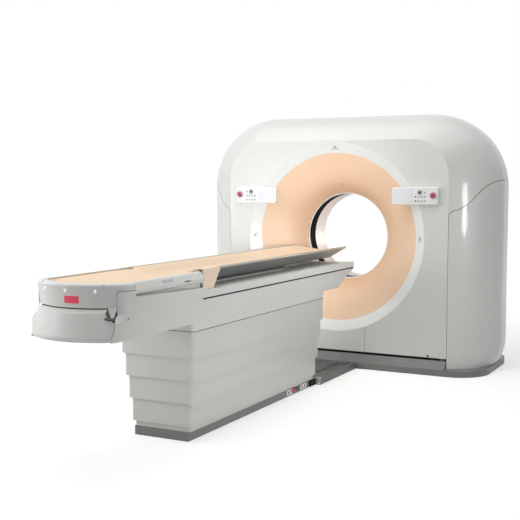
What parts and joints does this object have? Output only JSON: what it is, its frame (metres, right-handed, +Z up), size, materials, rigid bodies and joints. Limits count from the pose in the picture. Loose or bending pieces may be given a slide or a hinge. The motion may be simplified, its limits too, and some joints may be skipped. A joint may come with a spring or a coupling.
{
  "type": "ct scanner",
  "caption": "Whole-body X-ray scanner: a rounded gantry with a wide funnel bore on a floor base, and a telescoping patient table whose padded cradle slides into the bore.",
  "frame": {"origin": "on the floor, under the middle of the gantry's flat front face", "axes": "+X across the gantry, to the right seen from the foot of the table; +Y along the table, towards the rear of the gantry; +Z up"},
  "size_m": [2.58, 4.3887, 2.0425],
  "materials": {
    "cover_shell": "satin moulded cover",
    "trim_white": "satin moulded trim",
    "funnel_peach": "soft satin",
    "window_black": "smooth film",
    "laser_glass": "tinted, smooth",
    "panel_white": "smooth",
    "screen_pale": "smooth film",
    "key_grey": "fine matt",
    "button_red": "smooth",
    "button_grey": "fine matt",
    "base_grey": "satin paint",
    "frame_paint": "matt paint",
    "bearing_steel": "ground",
    "rotor_alloy": "machined",
    "ring_copper": "turned",
    "housing_grey": "satin paint",
    "detector_dark": "matt paint",
    "skirt_grey": "satin moulded cover",
    "table_shell": "satin moulded cover",
    "deck_grey": "satin",
    "column_steel": "drawn",
    "cradle_grey": "satin",
    "pad_fabric": "soft coated fabric",
    "flap_peach": "satin",
    "label_red": "printed film",
    "cap_grey": "satin",
    "keypad_dark": "smooth film",
    "knob_black": "satin",
    "socket_metal": "plate"
  },
  "bodies": {
    "stand": {"gantry_plinth": "base_grey", "gantry_frame": "frame_paint", "front_cover": "cover_shell", "lower_front_panel": "cover_shell", "rear_cover": "cover_shell", "side_cover_left": "cover_shell", "side_cover_right": "cover_shell", "front_trim_ring": "trim_white", "rear_trim_ring": "trim_white", "front_funnel": "funnel_peach", "rear_funnel": "funnel_peach", "bore_lip": "trim_white", "scan_window": "window_black", "bore_liner": "trim_white", "laser_windows": "laser_glass", "control_panel_left": "panel_white", "control_panel_right": "panel_white", "panel_screen_left": "screen_pale", "panel_screen_right": "screen_pale", "film_keys_left": "key_grey", "film_keys_right": "key_grey", "bearing_outer_ring": "bearing_steel", "brush_block": "housing_grey", "table_plinth": "base_grey", "floor_sockets": "socket_metal", "floor_bridge": "base_grey", "end_bracket": "socket_metal", "skirt_tier_5": "skirt_grey", "column_outer": "column_steel"},
    "rotor": {"rotor_drum": "rotor_alloy", "bearing_inner_ring": "bearing_steel", "slip_ring": "ring_copper", "xray_tube": "housing_grey", "detector_arc": "detector_dark", "high_voltage_generator": "housing_grey", "tube_cooler": "housing_grey"},
    "table_top": {"skirt_tier_1": "skirt_grey", "column_inner": "column_steel", "table_frame": "frame_paint", "under_pan": "table_shell", "side_panel_left": "table_shell", "side_panel_right": "table_shell", "top_deck": "deck_grey", "foot_cover_upper": "table_shell", "foot_cover_lower": "table_shell", "foot_caps": "cap_grey", "foot_label": "label_red", "arm_keypad": "keypad_dark"},
    "middle_column": {"column_middle": "column_steel"},
    "tier_2": {"skirt_tier_2": "skirt_grey"},
    "tier_3": {"skirt_tier_3": "skirt_grey"},
    "tier_4": {"skirt_tier_4": "skirt_grey"},
    "sliding_cradle": {"cradle": "cradle_grey", "pad": "pad_fabric", "side_flap": "flap_peach"},
    "stop_left": {"stop_button_left": "button_red"},
    "stop_right": {"stop_button_right": "button_red"},
    "round_left": {"round_button_left": "button_grey"},
    "round_right": {"round_button_right": "button_grey"},
    "knob": {"release_knob": "knob_black"}
  },
  "joints": [
    {"name": "rotor_spin", "type": "hinge", "parent": "stand", "child": "rotor", "pos_m": [0, 0.6, 1.05], "axis": [0, 1, 0], "continuous": true},
    {"name": "table_lift", "type": "slide", "parent": "stand", "child": "table_top", "axis": [0, 0, 1], "range_m": [-0.4, 0.03]},
    {"name": "column_lift", "type": "slide", "parent": "stand", "child": "middle_column", "axis": [0, 0, 1], "range_m": [-0.2, 0.015]},
    {"name": "tier_2_lift", "type": "slide", "parent": "stand", "child": "tier_2", "axis": [0, 0, 1], "range_m": [-0.29, 0.02175]},
    {"name": "tier_3_lift", "type": "slide", "parent": "stand", "child": "tier_3", "axis": [0, 0, 1], "range_m": [-0.163, 0.01222]},
    {"name": "tier_4_lift", "type": "slide", "parent": "stand", "child": "tier_4", "axis": [0, 0, 1], "range_m": [-0.028, 0.0021]},
    {"name": "cradle_slide", "type": "slide", "parent": "table_top", "child": "sliding_cradle", "axis": [0, 1, 0], "range_m": [0, 1.75]},
    {"name": "stop_left_press", "type": "slide", "parent": "stand", "child": "stop_left", "axis": [0, 1, 0], "range_m": [0, 0.005], "stiffness_N_per_m": 800},
    {"name": "stop_right_press", "type": "slide", "parent": "stand", "child": "stop_right", "axis": [0, 1, 0], "range_m": [0, 0.005], "stiffness_N_per_m": 800},
    {"name": "round_left_press", "type": "slide", "parent": "stand", "child": "round_left", "axis": [0, 1, 0], "range_m": [0, 0.003], "stiffness_N_per_m": 500},
    {"name": "round_right_press", "type": "slide", "parent": "stand", "child": "round_right", "axis": [0, 1, 0], "range_m": [0, 0.003], "stiffness_N_per_m": 500},
    {"name": "knob_press", "type": "slide", "parent": "table_top", "child": "knob", "axis": [-1, 0, 0], "range_m": [0, 0.006], "stiffness_N_per_m": 500}
  ],
  "couplings": [
    {"joint": "column_lift", "follows": "table_lift", "ratio": 0.5},
    {"joint": "tier_2_lift", "follows": "table_lift", "ratio": 0.725},
    {"joint": "tier_3_lift", "follows": "table_lift", "ratio": 0.4075},
    {"joint": "tier_4_lift", "follows": "table_lift", "ratio": 0.07}
  ]
}
